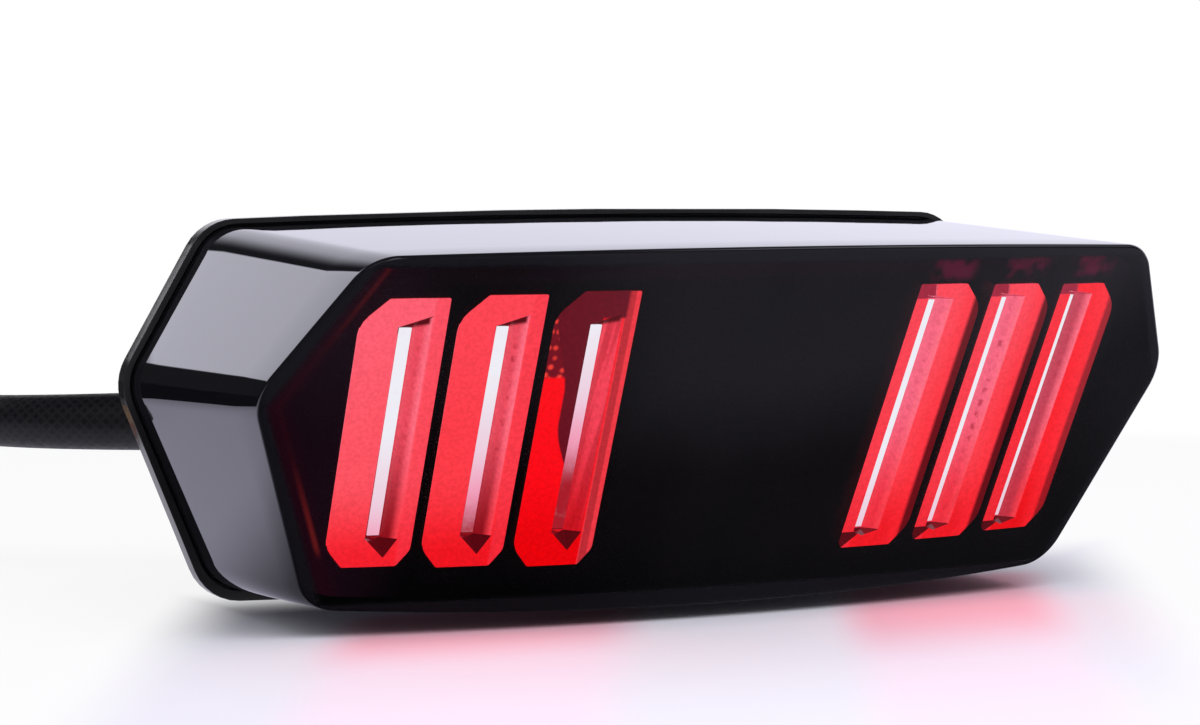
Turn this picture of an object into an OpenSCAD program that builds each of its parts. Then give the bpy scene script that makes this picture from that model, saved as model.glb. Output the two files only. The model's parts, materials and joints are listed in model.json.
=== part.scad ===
// Motorcycle LED tail light: a smoked hexagonal lens, three light bars on each side and a plug lead.
// The origin is midway between the two threaded inserts, on the plane where the lamp seats.
// +X is to the right of someone who looks at the lens, +Z is up, and the light shines towards -Y.

/* [Rim and housing] */
// Width of the rim between the corners of its side points, before rounding
rim_w = 178.4; // [172:0.2:184]
// Width of the rim's top and bottom edges, between their corners
rim_end_w = 147; // [142:0.5:150]
// Height of the rim at its top and bottom corners
rim_h = 64.9; // [62:0.1:68]
// Height of the side points above the middle of the rim
side_z = 5.4; // [4:0.1:7]
// Thickness of the rim
rim_t = 3; // [2.6:0.1:3.4]
// Distance from the seating plane to the back of the rim
rim_back = 15; // [14:0.5:17]
// Wall thickness of the housing
tub_wall = 2.5; // [2.2:0.1:2.8]

/* [Lens] */
// Depth from the front of the rim to the lens face, at mid height
lens_depth = 60.8; // [58:0.2:64]
// Lean of the lens face, which makes its top edge overhang
face_lean = 26.4; // [25:0.2:27.6]
// Radius of the lens face, seen from above
face_r = 375; // [350:5:400]
// Wall thickness of the lens
lens_wall = 2; // [1.8:0.1:2.1]

/* [Light bars] */
// Distance from the middle of the lamp to the inner edge of the first bar, at its top
bar_x = 25.9; // [25.5:0.1:26.2]
// Distance from one bar to the next
bar_pitch = 15.5; // [15.4:0.05:15.6]
// Height of a bar
bar_h = 45.2; // [45:0.1:45.6]
// Width of the light guide strip in each bar
guide_w = 1.8; // [1.7:0.1:2]
// Half the length of the strips on the left
left_strip_h = 17.2; // [16.8:0.1:17.8]
// Half the length of the strips on the right
right_strip_h = 20; // [19.5:0.1:20.1]
// Distance between two LEDs in a row
led_pitch = 3.4; // [3.2:0.05:3.5]

/* [Mounting] */
// Distance between the two threaded inserts
mount_pitch = 100; // [98:1:104]
// Bore of an insert, the thread's core diameter for an M6 bolt
insert_bore = 5.2; // [5:0.1:5.4]
// Outside diameter of an insert
insert_d = 8; // [7.6:0.2:8.4]

/* [Lead] */
// Diameter of the cable jacket
cable_d = 9.4; // [9:0.1:9.6]
// Diameter of one wire over its insulation
wire_d = 2.2; // [2:0.1:2.3]
// Distance from the middle of the lamp to the cable outlet
outlet_x = 24; // [23:0.5:25]
// Distance from the mounts down to the cable outlet
outlet_z = 5.5; // [5:0.5:6]

/* [Hidden] */
$fn = 48;

clear = 0.1;
eps = 0.02;
LEFT = true;
RIGHT = false;
INNER = 0;
MIDDLE = 1;
OUTER = 2;

// Stations along the depth of the lamp
rim_front = -rim_back - rim_t;
face_y = rim_front - lens_depth;
tub_back = -4;
floor_y = tub_back - tub_wall;
tip_y = rim_front - 85;
foot_y = rim_front + 1;
groove_y = rim_front + 1.6;

// The lens face bends in narrow flats
face_flats = 11;
flat_turn = 1.6;

// Outlines of the rim and lens
corner_r = 9;
crown_steps = 8;
arc_steps = 6;
tub_inset = 9;
lens_gap = 0.3;

// Depths behind the lens face, along its normal
bezel_w = lens_wall + 0.9;
bezel_t = 1.5;
skirt_w = 12;
bar_back_w = 7.9;
flange_t = 1.2;
lip_cut_t = 1.3;
guide_face_w = bezel_w + 3;
groove_w = bezel_w + 3.3;
board_w = 15;
board_t = 1.6;
carrier_w = 19;
carrier_t = 2;

// Light bar outline
bar_w = 13.7;
bar_slope = 0.046;
top_chamfer = [4.2, 3.9];
low_chamfer = [2.9, 3.4];
left_heel = [2, 2.7];
right_heel = [0.8, 1];
strip_x = 5;
trough_half_w = 2.9;
trough_gap = 0.3;
side_x = bar_x + bar_pitch + 5.5;
side_turn = asin(side_x / face_r);
led_count = 11;

// Inside the housing
post_at = [38, 17];
rib_gap = [-7, 8];
socket_z = -10;
boss_r = 7.5;
driver_x = 10;
driver_size = [40, 1.6, 30];
driver_back = floor_y - 4;
driver_front = driver_back - driver_size.y;
driver_hole = [16, 11];
header_z = -2;
header_pitch = 3.6;

// The lead, from the hinge at its outlet to its plug
outlet = [-outlet_x, 0, -outlet_z];
pivot = outlet + [0, 8, 0];
plug_at = pivot + [-77, 64, -23.2];
plug_turn = 115;
plug_axis = [cos(plug_turn), sin(plug_turn), 0];
jacket_bend = pivot + [-68, 42, -0.8];
cavity_pitch = 4;
plug_len = 24;
plug_half = [7.5, 4.5];

// ---- outlines: each is a list of [x, z] points, anticlockwise ----

function unit(v) = v / norm(v);
function at(p, i) = p[(i + len(p)) % len(p)];
function half_angle(p, i) = acos(unit(at(p, i - 1) - at(p, i)) * unit(at(p, i + 1) - at(p, i))) / 2;
function left_normal(p, i) = let (e = unit(at(p, i + 1) - at(p, i))) [-e.y, e.x];
function bisector(p, i) = unit(left_normal(p, i - 1) + left_normal(p, i));

// Moves every edge of a convex outline inwards by d
function inset(p, d) = [for (i = [0:len(p) - 1]) p[i] + bisector(p, i) * d / sin(half_angle(p, i))];

// Replaces each corner that turns by more than 12 degrees with an arc; radii is one radius or a list
function rounded(p, radii, n = arc_steps) = [
    for (i = [0:len(p) - 1])
        let (r = is_list(radii) ? radii[i] : radii, h = half_angle(p, i),
             c = p[i] + bisector(p, i) * r / sin(h), s = -left_normal(p, i - 1))
            for (j = [0:180 - 2 * h < 12 ? 0 : n])
                180 - 2 * h < 12 ? p[i] : let (a = atan2(s.y, s.x) + (180 - 2 * h) * j / n)
                    c + r * [cos(a), sin(a)]
];

// An edge from one corner to the other that bulges by crown in its middle
function crowned(half, z, crown, s) = [
    for (j = [0:crown_steps])
        let (u = 1 - 2 * j / crown_steps)
            [s * half * u, z + s * crown * (1 - u * u)]
];

function hexagon(side, z, top_half, top, bottom_half, bottom, top_crown, bottom_crown) = concat(
    [[side, z]], crowned(top_half, top, top_crown, 1),
    [[-side, z]], crowned(bottom_half, -bottom, bottom_crown, -1)
);

rim_corners = hexagon(rim_w / 2, side_z, rim_end_w / 2, rim_h / 2, rim_end_w / 2, rim_h / 2, 1.25, 1.4);
lens_base = hexagon(rim_w / 2 - 1.5, side_z, rim_end_w / 2 - 1, rim_h / 2 - 1.2,
                    rim_end_w / 2 - 1.1, rim_h / 2 - 2.2, 1.25, 2.6);
lens_tip = hexagon(rim_w / 2 - 5.1, side_z + 2.1, rim_end_w / 2 - 2.2, rim_h / 2 - 4.3,
                   rim_end_w / 2 - 4, rim_h / 2 - 5, 1.25, 2.6);

function rim(d) = rounded(inset(rim_corners, d), max(corner_r - d, 2));
function lens_outline(p, d) = rounded(inset(p, d), corner_r - 1 - d);

// ---- light bar outlines, for the right side ----

function edge(z) = bar_x + bar_slope * (z - bar_h / 2);
// The bars' ends follow the crowned edges of the lens
function bar_top(bar) = bar_h / 2 + 0.2 - 0.35 * bar;
function bar_low(bar) = 0.5 * bar - 0.6 - bar_h / 2;
function bar_outline(side, bar, grow = 0) =
    let (a = bar_low(bar), b = bar_top(bar), x = bar * bar_pitch,
         heel = side == LEFT ? left_heel : right_heel)
        rounded(inset([
            [x + edge(a + heel.y), a + heel.y],
            [x + edge(a) + heel.x, a],
            [x + edge(a) + bar_w - low_chamfer.x, a],
            [x + edge(a + low_chamfer.y) + bar_w, a + low_chamfer.y],
            [x + edge(b - top_chamfer.y) + bar_w, b - top_chamfer.y],
            [x + edge(b) + bar_w - top_chamfer.x, b],
            [x + edge(b), b]
        ], -grow), [side == LEFT ? 2 : 0.4, 0.6, 0.6, 4, 4, 0.6, 0.3], 3);

function strip_h(side) = side == LEFT ? left_strip_h : right_strip_h;
function strip_centre(bar, z) = bar * bar_pitch + edge(z) + strip_x;
function strip_outline(side, bar, grow = 0) =
    let (w = guide_w / 2 + grow, h = strip_h(side) + grow) [
        [strip_centre(bar, -h) - w, -h], [strip_centre(bar, -h) + w, -h],
        [strip_centre(bar, h) + w, h], [strip_centre(bar, h) - w, h]
    ];

// A long trough whose top end rises inwards, and whose bottom end comes to a point
function trough(bar, w, h, rise, point) = [
    [strip_centre(bar, -h - point) - w / 4, -h - point], [strip_centre(bar, -h) + w, -h],
    [strip_centre(bar, h) + w, h], [strip_centre(bar, h + rise) - w, h + rise],
    [strip_centre(bar, -h) - w, -h]
];

// Where the inner lip of a right bar is cut away, above and below its strip
function lip_cut(bar, z, end) = [
    [strip_centre(bar, z) - 1, z], [strip_centre(bar, end) - strip_x + (z > 0 ? 3 : -0.5), end],
    [strip_centre(bar, end) - strip_x - 1.5, end], [strip_centre(bar, z) - strip_x - 1.5, z]
];

box_outline = let (a = -bar_h / 2, b = bar_h / 2, x = 2 * bar_pitch + bar_w) inset([
    [edge(a), a], [edge(a) + x - low_chamfer.x, a], [edge(a + low_chamfer.y) + x, a + low_chamfer.y],
    [edge(b - top_chamfer.y) + x, b - top_chamfer.y], [edge(b) + x - top_chamfer.x, b], [edge(b), b]
], -1.6);

// ---- places on the lens face ----

// The point at [x, z] that lies w behind the plane that touches the face at x = middle
function on_face(q, w, middle) =
    [q.x, face_y + (2 * q.x - middle) * middle / (2 * face_r * cos(face_lean))
        - q.y * tan(face_lean) + w / cos(face_lean), q.y];
// The same point in the frame of a side's LED board
function on_board(x, z, w) =
    let (u = (x - side_x + w * sin(side_turn)) / cos(side_turn),
         d = face_r - (face_r - w) * cos(side_turn) + u * sin(side_turn))
        [u, w, (z - d * sin(face_lean)) / cos(face_lean)];
// The other way about: a point of a side's board frame in the frame of the whole lamp
function from_board(side, p) =
    let (s = side == LEFT ? -1 : 1, r = face_r - p.y, d = face_r - r * cos(side_turn) + p.x * sin(side_turn))
        [s * (p.x * cos(side_turn) + r * sin(side_turn)),
         face_y + d * cos(face_lean) - p.z * sin(face_lean), d * sin(face_lean) + p.z * cos(face_lean)];

// ---- general shapes ----

// Extends a flat outline from y0 back to y1
module along_y(y0, y1) {
    translate([0, y1, 0]) rotate([90, 0, 0]) linear_extrude(y1 - y0) children();
}

// Round bar from the point p back by the length h
module stud(p, r, h) {
    translate(p) rotate([-90, 0, 0]) cylinder(r = r, h = h);
}

// Closed solid between two loops that have the same number of points
module skin(front, back) {
    n = len(front);
    polyhedron(
        points = concat(front, back),
        faces = concat(
            [[for (i = [0:n - 1]) n - 1 - i]],
            [[for (i = [0:n - 1]) n + i]],
            [for (i = [0:n - 1]) [i, (i + 1) % n, n + i]],
            [for (i = [0:n - 1]) [n + i, (i + 1) % n, n + (i + 1) % n]]
        )
    );
}

// The tapered body of the lens, with its walls moved inwards by d
module lens_body(d) {
    skin(
        [for (q = lens_outline(lens_tip, d)) [q.x, tip_y, q.y]],
        [for (q = lens_outline(lens_base, d)) [q.x, rim_front, q.y]]
    );
}

module face_frame() {
    translate([0, face_y, 0]) rotate([face_lean, 0, 0]) children();
}

// A frame that touches the lens face over a side's middle bar: X across, Y inwards, Z up the face
module side_frame() {
    face_frame() translate([0, face_r, 0]) rotate([0, 0, side_turn]) translate([0, -face_r, 0]) children();
}

// Everything deeper than w behind the lens face
module behind(w) {
    r = face_r - w;
    arc = [for (k = [-face_flats:face_flats]) r * [sin(k * flat_turn), -cos(k * flat_turn)]];
    face_frame() translate([0, face_r, 0]) linear_extrude(300, center = true)
        polygon(concat(arc, [[r, 0], [-r, 0]]));
}

module between(w0, w1) {
    difference() {
        behind(w0);
        behind(w1);
    }
}

module on_side(side) {
    if (side == LEFT) mirror([1, 0, 0]) children();
    else children();
}

function bezier(a, b, c, d, n) = [
    for (i = [0:n])
        let (t = i / n, s = 1 - t)
            s * s * s * a + 3 * s * s * t * b + 3 * s * t * t * c + t * t * t * d
];

// A round rod along a path that never points straight up; radii gives r for each point of the path
module rod(path, r, sides = 12, radii = []) {
    n = len(path);
    tangents = [for (i = [0:n - 1]) unit(path[min(i + 1, n - 1)] - path[max(i - 1, 0)])];
    across = [for (t = tangents) unit(cross(t, [0, 0, 1]))];
    polyhedron(
        points = [
            for (i = [0:n - 1])
                for (j = [0:sides - 1])
                    path[i] + (len(radii) == n ? radii[i] : r)
                        * (cos(360 * j / sides) * across[i]
                         + sin(360 * j / sides) * cross(across[i], tangents[i]))
        ],
        faces = concat(
            [[for (j = [0:sides - 1]) sides - 1 - j]],
            [[for (j = [0:sides - 1]) (n - 1) * sides + j]],
            [for (i = [0:n - 2]) for (j = [0:sides - 1])
                let (a = i * sides, b = a + sides, k = (j + 1) % sides)
                    for (face = [[a + j, a + k, b + k], [a + j, b + k, b + j]]) face]
        )
    );
}

// ---- shells ----

module outer_lens() {
    color("#1b1518", 0.6) difference() {
        union() {
            intersection() {
                lens_body(0);
                behind(0);
            }
            along_y(rim_front - eps, foot_y) polygon(lens_outline(lens_base, 0));
        }
        intersection() {
            lens_body(lens_wall);
            behind(lens_wall);
        }
        along_y(rim_front - 2 * eps, foot_y + 1) polygon(lens_outline(lens_base, lens_wall));
    }
}

// The seal lies in the rim's groove, under the foot of the lens
module lens_gasket() {
    color("#0c0c0c") difference() {
        along_y(foot_y + clear / 2, groove_y) polygon(lens_outline(lens_base, 0));
        along_y(foot_y - 1, groove_y + 1) polygon(lens_outline(lens_base, lens_wall));
    }
}

module housing() {
    color("#111113") difference() {
        union() {
            along_y(rim_front, -rim_back) polygon(rim(0));
            along_y(-rim_back - 1, tub_back) polygon(rim(tub_inset));
            for (s = [-1, 1]) stud([s * mount_pitch / 2, floor_y - 5.5, 0], boss_r, 5.5 - floor_y);
            for (z = [-9, 0, 9]) translate([-5, tub_back - 1, z - 1]) cube([mount_pitch / 2, 3, 2]);
        }
        difference() {
            along_y(rim_front - 1, groove_y) polygon(lens_outline(lens_base, -lens_gap));
            along_y(rim_front - 2, groove_y + 1) polygon(lens_outline(lens_base, lens_wall + lens_gap));
        }
        difference() {
            along_y(rim_front - 1, floor_y) polygon(rim(tub_inset + tub_wall));
            for (s = [-1, 1]) stud([s * mount_pitch / 2, floor_y - 5.5, 0], boss_r, 6);
            for (s = [-1, 1]) for (t = [-1, 1])
                stud([driver_x + s * driver_hole.x, driver_back, t * driver_hole.y], 3, 5);
        }
        for (s = [-1, 1]) stud([s * mount_pitch / 2, -10.2, 0], insert_d / 2 + clear / 2, 11);
        for (s = [-1, 1]) for (t = [-1, 1]) {
            stud([s * post_at.x, floor_y - 1, t * post_at.y], 1.7, 4);
            stud([s * post_at.x, tub_back - 1, t * post_at.y], 3.2, 2);
            stud([driver_x + s * driver_hole.x, driver_back - 1, t * driver_hole.y], 0.95, 4.5);
        }
        stud(outlet + [0, floor_y - 1, 0], 6.6, 5);
        stud([-outlet_x, floor_y - 1, 11], 3, 5);
    }
}

module bezel() {
    color("#0d0d0f") difference() {
        union() {
            intersection() {
                lens_body(lens_wall + lens_gap);
                between(bezel_w, bezel_w + bezel_t);
            }
            difference() {
                intersection() {
                    lens_body(lens_wall + lens_gap);
                    between(bezel_w, skirt_w);
                }
                lens_body(lens_wall + lens_gap + 1.5);
            }
        }
        for (side = [LEFT, RIGHT]) on_side(side) for (bar = [INNER:OUTER])
            along_y(tip_y, floor_y) polygon(bar_outline(side, bar, clear));
    }
}

// ---- lights ----

module light_bar(side, bar) {
    middle = strip_centre(bar, 0);
    h = strip_h(side) + trough_gap;
    on_side(side) difference() {
        union() {
            intersection() {
                along_y(tip_y, floor_y) polygon(bar_outline(side, bar));
                between(bezel_w, bar_back_w);
            }
            intersection() {
                along_y(tip_y, floor_y) polygon(bar_outline(side, bar, 0.6));
                between(bezel_w + bezel_t + clear, bezel_w + bezel_t + clear + flange_t);
            }
        }
        skin(
            [for (q = trough(bar, trough_half_w, h, side == LEFT ? 1.9 : 0.8, side == LEFT ? 3.6 : 1))
                on_face(q, bezel_w - 0.4, middle)],
            [for (q = trough(bar, guide_w / 2 + trough_gap, h, 0.4, 0.4)) on_face(q, groove_w, middle)]
        );
        intersection() {
            along_y(tip_y, floor_y) polygon(strip_outline(side, bar, clear));
            behind(guide_face_w - 1);
        }
        if (side == RIGHT) difference() {
            for (s = [-1, 1]) along_y(tip_y, floor_y)
                polygon(lip_cut(bar, s * (h + clear), s < 0 ? bar_low(bar) - 1 : bar_top(bar) + 1));
            behind(bezel_w + lip_cut_t);
        }
    }
}

module guide(side, bar) {
    color("#fff4f2") on_side(side) intersection() {
        along_y(tip_y, floor_y) polygon(strip_outline(side, bar));
        between(guide_face_w, board_w - 1.4);
    }
}

module light_box(side) {
    color("#f0eeec") on_side(side) difference() {
        intersection() {
            along_y(tip_y, floor_y) polygon(box_outline);
            behind(bar_back_w + clear);
            side_frame() translate([-60, -60, -60]) cube([120, 60 + board_w - clear / 2, 120]);
        }
        for (bar = [INNER:OUTER]) along_y(tip_y, floor_y) polygon(bar_outline(LEFT, bar, -1));
        side_frame() board_holes() stud([0, board_w - 4.5, 0], 1.1, 6);
    }
}

// Places its children at the four screws of a side's board
module board_holes() {
    for (wall = [0, 1]) for (z = [-14, 14])
        let (x = edge(z) + (bar_w + bar_pitch) / 2 + wall * bar_pitch)
            translate(on_board(x, z, board_w) - [0, board_w, 0]) children();
}

module led_board(side) {
    color("#e8ece4") on_side(side) side_frame() difference() {
        translate([-25, board_w, -33]) cube([50, board_t, 51.5]);
        board_holes() stud([0, board_w - 1, 0], 1.2, 4);
    }
}

module led_row(side, bar, shift, size) {
    for (k = [0:led_count - 1]) let (z = (k - (led_count - 1) / 2) * led_pitch)
        on_side(side) side_frame() translate(on_board(strip_centre(bar, z) + shift, z, board_w))
            translate([-size.x / 2, -size.y - eps, -size.z / 2]) cube(size);
}

module white_leds(side) {
    color("#fff6dc") for (bar = [INNER:OUTER]) led_row(side, bar, 0, [1.6, 0.8, 2.8]);
}

module red_leds(side) {
    color("#ff5a50") for (bar = [INNER:OUTER]) for (shift = [-3, 4.6])
        led_row(side, bar, shift, [1.4, 0.8, 1.6]);
}

module led_header(side) {
    color("#f4efe2") on_side(side) side_frame() difference() {
        translate([-4, board_w + board_t + eps, socket_z - 2]) cube([8, 4, 4]);
        translate([-3, board_w + board_t + 1.2, socket_z - 1]) cube([6, 4, 2]);
    }
}

// The carrier plate holds both boards, and stands on the housing with four posts
module carrier() {
    color("#2a2a2c") difference() {
        union() {
            intersection() {
                lens_body(lens_wall + 3);
                between(carrier_w, carrier_w + carrier_t);
            }
            intersection() {
                behind(carrier_w);
                for (s = [-1, 1]) {
                    for (t = [-1, 1])
                        stud([s * post_at.x, face_y, t * post_at.y], 4, floor_y - clear - face_y);
                    for (z = [-post_at.y, rib_gap.y]) translate([s * post_at.x - 1, face_y, z])
                        cube([2, -20 - face_y, z < 0 ? post_at.y + rib_gap.x : post_at.y - z]);
                }
            }
            for (side = [LEFT, RIGHT]) on_side(side) side_frame() board_holes()
                stud([0, board_w + board_t + clear, 0], 2.2, carrier_w - board_w - board_t + 1);
        }
        for (s = [-1, 1]) for (t = [-1, 1])
            stud([s * post_at.x, floor_y - 13, t * post_at.y], 1.3, 14);
        for (side = [LEFT, RIGHT]) on_side(side) side_frame() {
            board_holes() stud([0, board_w, 0], 1.2, 12);
            board_holes() stud([0, carrier_w + carrier_t + clear, 0], 2.6, 12);
            translate([-6, board_w + board_t + 1, socket_z - 4]) cube([12, 6, 8]);
        }
    }
}

// ---- fasteners ----

// A pan head screw that points towards -Y, with a cross recess; its seat is at y = 0
module screw(r, length, head_r, head_h) {
    difference() {
        union() {
            stud([0, -length, 0], r, length + eps);
            stud([0, 0, 0], head_r, head_h);
        }
        for (a = [0, 90]) rotate([0, a, 0])
            translate([-head_r * 0.6, head_h * 0.5, -head_r * 0.12])
                cube([head_r * 1.2, head_h, head_r * 0.24]);
    }
}

module board_screws() {
    color("silver") for (side = [LEFT, RIGHT]) on_side(side) side_frame() board_holes()
        translate([0, carrier_w + carrier_t + clear, 0]) screw(1, 10, 2, 1.3);
}

module carrier_screws() {
    color("silver") for (s = [-1, 1]) for (t = [-1, 1])
        translate([s * post_at.x, tub_back - 1 + clear, t * post_at.y]) screw(1.25, 13, 2.9, 1.8);
}

module driver_screws() {
    color("silver") for (s = [-1, 1]) for (t = [-1, 1])
        translate([driver_x + s * driver_hole.x, driver_front - clear, t * driver_hole.y])
            mirror([0, 1, 0]) screw(0.9, 5, 2, 1.3);
}

// Brass inserts with a knurled band, moulded into the bosses
module mount_inserts() {
    color("#c8a24a") for (s = [-1, 1]) translate([s * mount_pitch / 2, 0, 0]) difference() {
        union() {
            stud([0, -10, 0], insert_d / 2 - 0.4, 10);
            stud([0, -8, 0], insert_d / 2, 2.5);
            stud([0, -4, 0], insert_d / 2, 4);
        }
        stud([0, -11, 0], insert_bore / 2, 12);
    }
}

// ---- driver electronics ----

module driver_board() {
    color("#1d5a34") difference() {
        translate([driver_x - driver_size.x / 2, driver_front, -driver_size.z / 2]) cube(driver_size);
        for (s = [-1, 1]) for (t = [-1, 1])
            stud([driver_x + s * driver_hole.x, driver_front - 1, t * driver_hole.y], 1.2, 4);
    }
}

// Stands a block of the given size on the driver board at [x, z]
module on_driver(x, z, size) {
    translate([driver_x + x - size.x / 2, driver_front - size.y - eps, z - size.z / 2]) cube(size);
}

module driver_chips() {
    color("#202022") {
        on_driver(2, -3, [6, 1.6, 5]);
        on_driver(11, -3, [5, 1.6, 4]);
    }
}

module driver_capacitors() {
    color("#3c4a78") for (x = [-3, 8]) stud([driver_x + x, driver_front - eps - 11, 7], 4, 11);
}

module driver_resistors() {
    color("#2e2e30") for (k = [0:5]) on_driver(k * 3 - 4, -9.5, [1.6, 0.6, 3.2]);
}

// A three-way header; the lead's wires enter it from the left
module driver_header() {
    color("#f4efe2") difference() {
        on_driver(-14, header_z, [7, 5, 12]);
        for (k = [-1:1]) translate([driver_x - 18, driver_front - 2.6, header_z + k * header_pitch])
            rotate([0, 90, 0]) cylinder(d = wire_d + 0.2, h = 5);
    }
}

// Two thin wires from the driver board to a side's LED header
module jumper(side) {
    foot = side == LEFT ? [driver_x - 6, driver_front - 0.3, 13] : [driver_x + 14.5, driver_front - 0.3, 3];
    for (k = [-1, 1]) rod(bezier(
        foot + [k, 0, k], foot + [k, -14, k],
        from_board(side, [1.2 * k, board_w + board_t + 17.4, socket_z]),
        from_board(side, [1.2 * k, board_w + board_t + 2.4, socket_z]), 16), 0.7, 8);
}

// A wire inside the lamp, from the end of the jacket to the header
module inner_lead(k) {
    a = pivot + [1.6 * cos(120 * k), -24.2, 1.6 * sin(120 * k)];
    b = [driver_x - 17.4, driver_front - 2.6, header_z + [0, 1, -1][k] * header_pitch];
    rod(bezier(a, a + [0, k == 0 ? -5 : -14, 0], b + [-9, 0, 0], b, 14), wire_d / 2, 10);
}

// ---- lead ----

module vent_cap() {
    color("#1a1a1a") difference() {
        union() {
            stud([-outlet_x, floor_y - 0.8, 11], 2.9, 4);
            stud([-outlet_x, tub_back + 0.05, 11], 5, 2.4);
        }
        for (z = [-2.4, 0, 2.4])
            translate([-outlet_x - 2.8, tub_back + 1.5, 11 + z - 0.4]) cube([5.6, 2, 0.8]);
        stud([-outlet_x, floor_y - 2, 11], 1.6, 5);
    }
}

module cable_grommet() {
    color("#151515") difference() {
        union() {
            stud(outlet + [0, floor_y - 2.1, 0], 8.4, 2);
            stud(outlet + [0, floor_y - 0.2, 0], 6.5, tub_wall + 0.4);
            stud(outlet + [0, tub_back + 0.1, 0], 8.4, 2.4);
            translate(outlet + [0, tub_back + 2.4, 0]) rotate([-90, 0, 0]) cylinder(r1 = 7.4, r2 = 6, h = 7);
        }
        stud(outlet + [0, floor_y - 3, 0], cable_d / 2 + clear, 20);
    }
}

// Nylon tie around the cable, inside the housing
module cable_tie() {
    color("#e6e2d8") translate(outlet + [0, floor_y - 6.5, 0]) difference() {
        union() {
            stud([0, 0, 0], cable_d / 2 + 1.3, 3);
            translate([-2.5, -0.5, cable_d / 2 + 0.6]) cube([5, 4, 3.4]);
        }
        stud([0, -1, 0], cable_d / 2 + clear / 2, 6);
    }
}

// The fixed stretch of the cable, through the grommet
module cable_entry() {
    color("#141414") stud(outlet + [0, -16, 0], cable_d / 2, pivot.y - cable_d / 2 - 0.2 + 16);
}

lead_path = concat(
    bezier(pivot, pivot + [-1, 18, 0], pivot + [-54, 12, 0], jacket_bend, 20),
    [for (p = bezier(jacket_bend, jacket_bend + [-4, 9, -0.2], plug_at - 8 * plug_axis, plug_at, 12))
        if (p != jacket_bend) p]
);
jacket_end = 24;
function span(i, j) = [for (k = [i:j]) lead_path[k]];
function along(i) = unit(lead_path[i + 1] - lead_path[i - 1]);

// The jacket starts with a ball inside the mouth of the grommet, so that it can swing there
module cable_jacket() {
    ball = [for (a = [78, 52, 26]) [cos(a), sin(a)] * cable_d / 2];
    color("#141414") rod(
        concat([for (p = ball) pivot - [0, p.y, 0]], span(0, jacket_end)), 0, 16,
        radii = concat([for (p = ball) p.x], [for (i = [0:jacket_end]) cable_d / 2]));
}

module jacket_shrink() {
    color("#0f0f10") difference() {
        rod(span(jacket_end - 3, jacket_end + 1), cable_d / 2 + 0.8, 16);
        rod(concat([lead_path[jacket_end - 3] - along(jacket_end - 3)], span(jacket_end - 3, jacket_end + 1),
                   [lead_path[jacket_end + 1] + along(jacket_end + 1)]), cable_d / 2 + 0.15, 20);
    }
}

// A wire from the end of the jacket to its place in the plug
module plug_wire(k) {
    t = along(jacket_end);
    side = unit(cross(t, [0, 0, 1]));
    a = lead_path[jacket_end] + t * 0.3 + 1.6 * (cos(120 * k) * side + sin(120 * k) * cross(side, t));
    b = plug_at + (k - 1) * cavity_pitch * [-plug_axis.y, plug_axis.x, 0];
    rod(concat(bezier(a, a + 7 * t, b - 6 * plug_axis, b, 14), [b + 9.2 * plug_axis]), wire_d / 2, 10);
}

// The plug's frame: X along its axis away from the wires, Z up
module plug_frame() {
    translate(plug_at) rotate([0, 0, plug_turn]) children();
}

module block(p, size) {
    translate([p.x, p.y - size.y / 2, p.z]) cube(size);
}

module pin_x(p, r, h) {
    translate(p) rotate([0, 90, 0]) cylinder(r = r, h = h);
}

latch_pivot = [20.5, 0, 6.4];
module plug_housing() {
    color("#18181a") plug_frame() difference() {
        union() {
            block([0, 0, -plug_half.y], [plug_len, 2 * plug_half.x, 2 * plug_half.y]);
            for (s = [-1, 1]) translate([17.5, s * 4.6 - 0.9, plug_half.y - eps]) cube([6, 1.8, 3.4]);
            block([3, 0, -plug_half.y - 0.6], [3, 2 * plug_half.x + 1.2, 2 * plug_half.y + 1.2]);
            for (s = [-1, 1]) block([8, s * plug_half.x, -2.6], [14, 1, 1]);
        }
        block([-1, 0, -3.5], [8, 13.2, 7]);
        for (k = [-1:1]) pin_x([5, k * cavity_pitch, 0], 1.7, plug_len);
        for (s = [-1, 1]) translate([latch_pivot.x, s * 4.6, latch_pivot.z]) rotate([90, 0, 0])
            cylinder(r = 0.85, h = 3, center = true);
        translate([9, -5.1, -plug_half.y - 1]) cube([11, 10.2, 2.6]);
    }
}

module plug_seal() {
    color("#b5502c") plug_frame() difference() {
        block([0.6, 0, -3.4], [6, 13, 6.8]);
        for (k = [-1:1]) pin_x([-1, k * cavity_pitch, 0], wire_d / 2 + 0.06, 9);
    }
}

module plug_terminals() {
    color("#c9a860") plug_frame() for (k = [-1:1]) difference() {
        pin_x([9.5, k * cavity_pitch, 0], 1.55, 12);
        pin_x([14, k * cavity_pitch, 0], 0.9, 12);
    }
}

// The secondary lock slides in its pocket under the plug
module plug_lock() {
    color("#c8401e") plug_frame() difference() {
        block([9.1, 0, -plug_half.y - 0.4], [8.6, 10, 1.8]);
        block([12, 0, -plug_half.y - 1], [1, 6, 1]);
    }
}

// The latch rocks on its pin, and its tail is pressed to free the plug
module plug_latch() {
    color("#222224") plug_frame() difference() {
        union() {
            block([7, 0, 5.8], [15, 7, 1.2]);
            block([6, 0, 5.8], [3, 8, 1.8]);
            block([21, 0, 5.4], [2, 7, 1.6]);
            translate(latch_pivot) rotate([90, 0, 0]) cylinder(r = 0.78, h = 10.8, center = true);
        }
        block([11, 0, 5], [5, 3, 4]);
    }
}

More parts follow.
